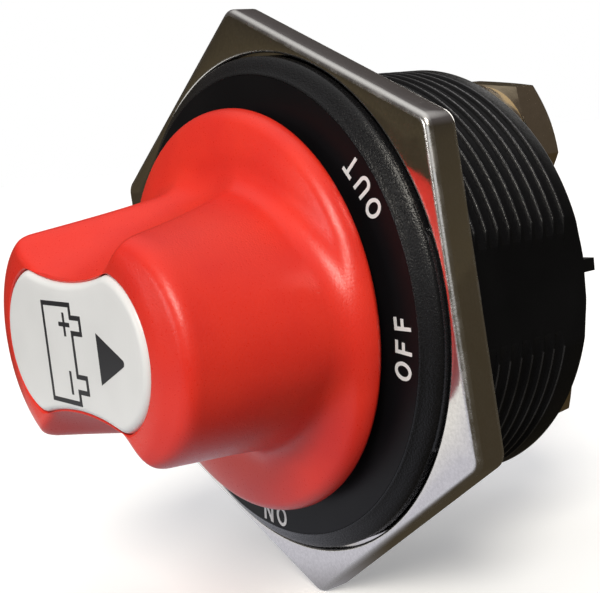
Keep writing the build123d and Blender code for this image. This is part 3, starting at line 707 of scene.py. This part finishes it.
def make_body():
    """Threaded body with its flange, one closed shell."""
    rings = [body_ring(COVER_HOLE, BODY_REAR), body_ring(BODY_RADIUS - REAR_CHAMFER, BODY_REAR),
             body_ring(BODY_RADIUS - 0.12, BODY_REAR + REAR_CHAMFER - 0.15),
             body_ring(BODY_RADIUS, BODY_REAR + REAR_CHAMFER + 0.1)]
    thread_from = len(rings)
    for turn in range(BODY_TURNS):
        for share, depth in THREAD_SECTION:
            z = THREAD_REAR + (turn + share) * BODY_PITCH
            rings.append(body_ring(BODY_RADIUS - depth * BODY_DEPTH, z, helix=1.0))
    thread_to = len(rings)
    rings.append(body_ring(BODY_RADIUS, THREAD_REAR + (BODY_TURNS - 0.06) * BODY_PITCH, helix=1.0))
    rings += [body_ring(BODY_RADIUS, FLANGE_BACK - 0.15), body_ring(BODY_RADIUS, FLANGE_BACK)]
    grain_from = len(rings)
    # radius, z and the bulge of each ring, first over the flange and then back through the inside
    rim = [(RIM_RADIUS - 0.15, FLANGE_BACK, LUG), (RIM_RADIUS, FLANGE_BACK + 0.15, LUG),
           (RIM_RADIUS, LUG_FRONT, LUG), (RIM_RADIUS, LUG_FRONT + 0.05, None),
           (RIM_RADIUS, 1.8, None), (29.3, 2.0, None), (29.0, 2.25, None), (28.65, 2.5, None),
           (28.3, 2.72, None), (27.95, 2.95, None), (27.7, 3.15, None), (27.55, DIAL_FACE - 0.02, None),
           (27.45, DIAL_FACE, None)]
    rings += [body_ring(r, z, flats=False, bulge=bulge) for r, z, bulge in rim]
    grain_to = len(rings)
    inside = [(DIAL_RADIUS + 0.03, DIAL_FACE - 0.02, None), (DIAL_RADIUS + 0.03, DIAL_FLOOR, None),
              (BODY_BORE + 0.2, DIAL_FLOOR, None), (BODY_BORE, DIAL_FLOOR - 0.2, None),
              (BODY_BORE, COUNTERBORE_Z, None), (COUNTERBORE_RADIUS, COUNTERBORE_Z, STOP_ROOM),
              (COUNTERBORE_RADIUS, WALL_BACK, STOP_ROOM), (CAVITY_RADIUS, WALL_BACK, None),
              (CAVITY_RADIUS, COVER_HIGH[2], None), (COVER_HOLE, COVER_HIGH[2], None)]
    rings += [body_ring(r, z, flats=False, bulge=bulge) for r, z, bulge in inside]
    rings.append(rings[0])
    rings = np.array(rings)
    columns = rings.shape[1]
    piece = add_mesh("body_moulding", rings.reshape(-1, 3), ring_faces(len(rings), columns), "switch_body",
                     [BLACK, GRAIN, CREST_HIGHLIGHT, THREAD], ["housing"], sharp=38)
    for index, polygon in enumerate(piece.data.polygons):
        row = index // columns
        if grain_from <= row < grain_to:
            polygon.material_index = 1
        elif thread_from <= row < thread_to:
            # crest rows off the flats get the lighter crest material, a painted highlight
            on_crest = (row - thread_from) % len(THREAD_SECTION) in CREST_ROWS
            on_flat = abs(piece.data.vertices[polygon.vertices[0]].co.x) > (BODY_FLAT - 0.01) * MM
            polygon.material_index = 0 if on_flat else 2 if on_crest else 3


make_body()

# ---------------------------------------------------------------- stud threads

STUD_RADIUS = 5.0
STUD_PITCH = 1.5
STUD_DEPTH = 0.85
STUD_STEPS = 8              # rings in one pitch
STUD_COLUMNS = 72
STUD_THREAD = 12.2          # length of the thread
STUD_TIP = 1.0              # chamfer of its end
STUD_RUNOUT = 0.8           # over what length the thread fades out
STUD_RELIEF = 0.3           # how far the crests stay under the shank
STUD_HEAD = 3.4
HEAD_CHAMFER = 0.2


def make_stud(node, name, side):
    """A stud with its flat-sided head and a real helical thread."""
    low, high = switch_box(node)
    head_low = high[2] - STUD_HEAD
    end, thread_top = low[2], low[2] + STUD_THREAD
    rows = int((thread_top - end - STUD_PITCH) / STUD_PITCH * STUD_STEPS)
    angle = np.linspace(0, TAU, STUD_COLUMNS, endpoint=False)
    points = []
    for k in range(rows + 1):
        z = end + 0.05 + k * STUD_PITCH / STUD_STEPS + STUD_PITCH * angle / TAU
        swing = 0.5 - 0.5 * math.cos(TAU * k / STUD_STEPS)
        radius = STUD_RADIUS - STUD_DEPTH * (swing if 0 < k < rows else 1.0)
        tip = STUD_RADIUS - STUD_TIP + (z - end)
        ease = np.clip((thread_top - z) / STUD_RUNOUT, 0, 1)
        crest = STUD_RADIUS - STUD_RELIEF
        radius = np.minimum(crest - (crest - radius) * ease, tip)
        points.append(np.stack([radius * np.cos(angle), radius * np.sin(angle), z], axis=-1))
    grid = np.array(points)
    first_ring = polar_ring(angle, STUD_RADIUS - STUD_TIP, end)
    neck = polar_ring(angle, STUD_RADIUS, thread_top + 0.5)
    neck_end = polar_ring(angle, STUD_RADIUS, head_low)
    half_flat, head_radius = (high[0] - low[0]) / 2, (high[1] - low[1]) / 2
    head_shape = np.minimum(head_radius, half_flat / np.maximum(np.abs(np.cos(angle)), 1e-6))
    head = [polar_ring(angle, head_shape - HEAD_CHAMFER, head_low),
            polar_ring(angle, head_shape, head_low + HEAD_CHAMFER),
            polar_ring(angle, head_shape, high[2] - HEAD_CHAMFER),
            polar_ring(angle, head_shape - HEAD_CHAMFER, high[2])]
    everything = np.concatenate([grid.reshape(-1, 3), first_ring, neck, neck_end, *head])
    everything[:, 1] += side * STUD_OFFSET
    count, last = STUD_COLUMNS, STUD_COLUMNS - 1
    faces = []
    for k in range(rows):
        here, above = k * count, (k + 1) * count
        for c in range(last):
            faces.append([here + c, here + c + 1, above + c + 1, above + c])
        if k + STUD_STEPS + 1 <= rows:
            faces.append([here + last, (k + STUD_STEPS) * count, (k + STUD_STEPS + 1) * count,
                          above + last])
    tip_ring = (rows + 1) * count
    neck_ring = tip_ring + count
    top = rows * count
    for c in range(last):
        faces.append([tip_ring + c, tip_ring + c + 1, c + 1, c])
        faces.append([top + c, top + c + 1, neck_ring + c + 1, neck_ring + c])
    faces.append([tip_ring + last, tip_ring] + [k * count for k in range(STUD_STEPS + 1)] + [last])
    seam = [(rows - STUD_STEPS + k) * count + last for k in range(STUD_STEPS + 1)]
    faces.append([top, neck_ring, neck_ring + last] + seam[::-1])
    faces += ring_faces(6, count, neck_ring)
    faces.append([tip_ring + c for c in reversed(range(count))])
    faces.append([neck_ring + 5 * count + c for c in range(count)])
    add_mesh(name, everything, faces, "switch_body", [TIN], [node], sharp=50)


make_stud("upper_stud", "upper_stud_threaded", 1)
make_stud("lower_stud", "lower_stud_threaded", -1)

# ---------------------------------------------------------------- CAD nodes that keep their shape

SHOWN = {
    "dial_ring": DIAL, "panel_gasket": RUBBER, "rear_cover": BLACK, "cover_seal": RUBBER,
    "cover_screws": ZINC, "stud_seals": RUBBER, "flat_washers": PASSIVATED,
    "spring_washers": PASSIVATED, "stud_nuts": PASSIVATED, "key_shank": NATURAL,
    "shank_oring": RUBBER, "knob_screw": ZINC, "rotor": NATURAL, "rotor_oring": RUBBER,
    "thrust_washer": NATURAL, "detent_balls": STEEL, "detent_springs": STEEL,
    "contact_carriage": NATURAL, "contact_bridge": COPPER, "contact_tips": TIN,
    "pressure_spring": STEEL, "bridge_clip": STEEL,
}
for node, material in SHOWN.items():
    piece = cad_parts[node]
    piece.data.materials.clear()
    piece.data.materials.append(material)

# ---------------------------------------------------------------- floor, light and camera

FLOOR_SIZE = 6
FLOOR_GLOW = 0.2
PATCH_CENTRE = (-0.050, -0.078)     # the part of the floor that the metal mirrors as pale: x, y
PATCH_RADIUS = (0.080, 0.105)       # where it starts and ends to fade
PATCH_TURN = (-0.055, -0.015)       # x where its colour goes from cool to warm
PATCH_COOL = (0.70, 0.71, 0.80)
PATCH_WARM = (0.98, 0.98, 0.96)
ROOM_DARK = (0.060, 0.048, 0.030)   # the rest of the floor, as the metal mirrors it
BOUNCE = (0.30, 0.30, 0.31)         # the floor as it lights the part from below

floor_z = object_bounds()[0].z
bpy.ops.mesh.primitive_plane_add(size=FLOOR_SIZE, location=(0, 0, floor_z))
floor = bpy.context.object
floor.name = "floor"


def floor_finish():
    """Plain near-white floor to the eye. Reflections see a dark floor with one pale patch in it."""
    material, tree, shader = new_material("floor_pale", (0.93, 0.93, 0.93), 0.7, specular=0.1)
    shader.inputs["Emission Color"].default_value = (1, 1, 1, 1)
    shader.inputs["Emission Strength"].default_value = FLOOR_GLOW
    links = tree.links
    place = tree.nodes.new("ShaderNodeNewGeometry")
    axes = tree.nodes.new("ShaderNodeSeparateXYZ")
    links.new(place.outputs["Position"], axes.inputs["Vector"])
    patch = tint(tree, spread(tree, axes.outputs["X"], 0, 1, *PATCH_TURN), PATCH_WARM, PATCH_COOL)
    reach = tree.nodes.new("ShaderNodeVectorMath")
    reach.operation = "DISTANCE"
    reach.inputs[1].default_value = (*PATCH_CENTRE, floor_z)
    links.new(place.outputs["Position"], reach.inputs[0])
    fade = tree.nodes.new("ShaderNodeMapRange")
    fade.interpolation_type = "SMOOTHSTEP"
    fade.inputs["From Min"].default_value, fade.inputs["From Max"].default_value = PATCH_RADIUS
    links.new(reach.outputs["Value"], fade.inputs["Value"])
    path = tree.nodes.new("ShaderNodeLightPath")
    mirrored = tree.nodes.new("ShaderNodeMix")
    mirrored.data_type = "RGBA"
    links.new(patch, mirrored.inputs["A"])
    mirrored.inputs["B"].default_value = (*ROOM_DARK, 1)
    links.new(fade.outputs["Result"], mirrored.inputs["Factor"])
    mirror = tree.nodes.new("ShaderNodeEmission")
    links.new(mirrored.outputs["Result"], mirror.inputs["Color"])
    bounce = tree.nodes.new("ShaderNodeEmission")
    bounce.inputs["Color"].default_value = (*BOUNCE, 1)
    last = shader.outputs["BSDF"]
    for ray, light in (("Is Diffuse Ray", bounce), ("Is Glossy Ray", mirror)):
        mix = tree.nodes.new("ShaderNodeMixShader")
        links.new(path.outputs[ray], mix.inputs["Fac"])
        links.new(last, mix.inputs[1])
        links.new(light.outputs["Emission"], mix.inputs[2])
        last = mix.outputs["Shader"]
    links.new(last, tree.nodes["Material Output"].inputs["Surface"])
    return material


floor.data.materials.append(floor_finish())


def sun(name, toward, strength, spread_degrees, colour=(1, 1, 1)):
    """A distant soft lamp that shines from the direction toward."""
    data = bpy.data.lights.new(name, "SUN")
    data.energy = strength
    data.angle = math.radians(spread_degrees)
    data.color = colour
    lamp = bpy.data.objects.new(name, data)
    bpy.context.scene.collection.objects.link(lamp)
    lamp.rotation_euler = Vector(toward).to_track_quat("Z", "Y").to_euler()


sun("key_sun", (0.72, -0.72, 0.80), 2.3, 22, (1.0, 0.95, 0.85))
sun("front_sun", (-0.17, -0.96, 0.21), 0.45, 16)
sun("rear_sun", (-0.30, 0.90, 0.35), 0.5, 30, (1.0, 0.98, 0.95))

PANEL_TOWARD = (0.587, -0.80, -0.10)    # direction of a soft panel that only reflections see
PANEL_REACH = (0.28, 0.50)              # where the panel starts and ends to fade
PANEL_COLOUR = (0.85, 0.87, 0.90)
FILL_COLOUR = (0.97, 0.97, 1.0)         # even light on the part from all round
FILL_STRENGTH = 0.56
WALL_LOWEST = (0.62, 0.60, 0.58)        # the walls in reflections, from straight down to straight up
WALL_STOPS = ((0.50, (0.078, 0.063, 0.038)), (0.60, (0.045, 0.037, 0.026)), (0.80, (0.11, 0.10, 0.10)))
WALL_HIGHEST = (0.9, 0.9, 0.9)


def studio_world():
    """White surroundings to the eye and an even fill, with dark walls that reflections see."""
    world = bpy.data.worlds.new("studio")
    bpy.context.scene.world = world
    world.use_nodes = True
    tree = world.node_tree
    links = tree.links
    tree.nodes.clear()
    output = tree.nodes.new("ShaderNodeOutputWorld")
    path = tree.nodes.new("ShaderNodeLightPath")
    direction = tree.nodes.new("ShaderNodeTexCoord")
    axes = tree.nodes.new("ShaderNodeSeparateXYZ")
    links.new(direction.outputs["Generated"], axes.inputs["Vector"])

    walls = tree.nodes.new("ShaderNodeValToRGB")
    ramp = walls.color_ramp
    ramp.elements[0].position, ramp.elements[0].color = 0.0, (*WALL_LOWEST, 1)
    ramp.elements[1].position, ramp.elements[1].color = 1.0, (*WALL_HIGHEST, 1)
    for position, colour in WALL_STOPS:
        stop = ramp.elements.new(position)
        stop.color = (*colour, 1)
    height = tree.nodes.new("ShaderNodeMapRange")
    height.inputs["From Min"].default_value = -1
    links.new(axes.outputs["Z"], height.inputs["Value"])
    links.new(height.outputs["Result"], walls.inputs["Fac"])
    off_panel = tree.nodes.new("ShaderNodeVectorMath")
    off_panel.operation = "DISTANCE"
    off_panel.inputs[1].default_value = PANEL_TOWARD
    links.new(direction.outputs["Generated"], off_panel.inputs[0])
    faded = spread(tree, off_panel.outputs["Value"], 0, 1, *PANEL_REACH)
    # the link below puts the walls in place of this black
    room = tint(tree, faded, PANEL_COLOUR, (0, 0, 0))
    links.new(walls.outputs["Color"], room.node.inputs["B"])

    fill = tree.nodes.new("ShaderNodeBackground")
    fill.inputs["Color"].default_value = (*FILL_COLOUR, 1)
    fill.inputs["Strength"].default_value = FILL_STRENGTH
    mirror = tree.nodes.new("ShaderNodeBackground")
    links.new(room, mirror.inputs["Color"])
    backdrop = tree.nodes.new("ShaderNodeBackground")
    backdrop.inputs["Color"].default_value = (1, 1, 1, 1)
    backdrop.inputs["Strength"].default_value = 1.0
    glossy = tree.nodes.new("ShaderNodeMixShader")
    links.new(path.outputs["Is Glossy Ray"], glossy.inputs["Fac"])
    links.new(fill.outputs["Background"], glossy.inputs[1])
    links.new(mirror.outputs["Background"], glossy.inputs[2])
    seen = tree.nodes.new("ShaderNodeMixShader")
    links.new(path.outputs["Is Camera Ray"], seen.inputs["Fac"])
    links.new(glossy.outputs["Shader"], seen.inputs[1])
    links.new(backdrop.outputs["Background"], seen.inputs[2])
    links.new(seen.outputs["Shader"], output.inputs["Surface"])


studio_world()

VIEW_AZIMUTH = math.radians(53.7)
VIEW_ELEVATION = math.radians(7.68)
VIEW_ROLL = math.radians(-6.19)
VIEW_DISTANCE = 0.1432      # metres
VIEW_LENS = 71.15
VIEW_AIM = Vector((1.21, 1.80, 0.66)) * MM

camera_data = bpy.data.cameras.new("camera")
camera_data.lens = VIEW_LENS
camera_data.clip_start = 0.01
camera = bpy.data.objects.new("camera", camera_data)
bpy.context.scene.collection.objects.link(camera)
bpy.context.scene.camera = camera
back = Vector((math.sin(VIEW_AZIMUTH) * math.cos(VIEW_ELEVATION),
               -math.cos(VIEW_AZIMUTH) * math.cos(VIEW_ELEVATION),
               math.sin(VIEW_ELEVATION)))
camera.rotation_mode = "QUATERNION"
roll = Matrix.Rotation(VIEW_ROLL, 3, "Z").to_quaternion()
camera.rotation_quaternion = (-back).to_track_quat("-Z", "Y") @ roll
camera.location = VIEW_AIM + back * VIEW_DISTANCE

bpy.context.scene.view_settings.view_transform = "Standard"
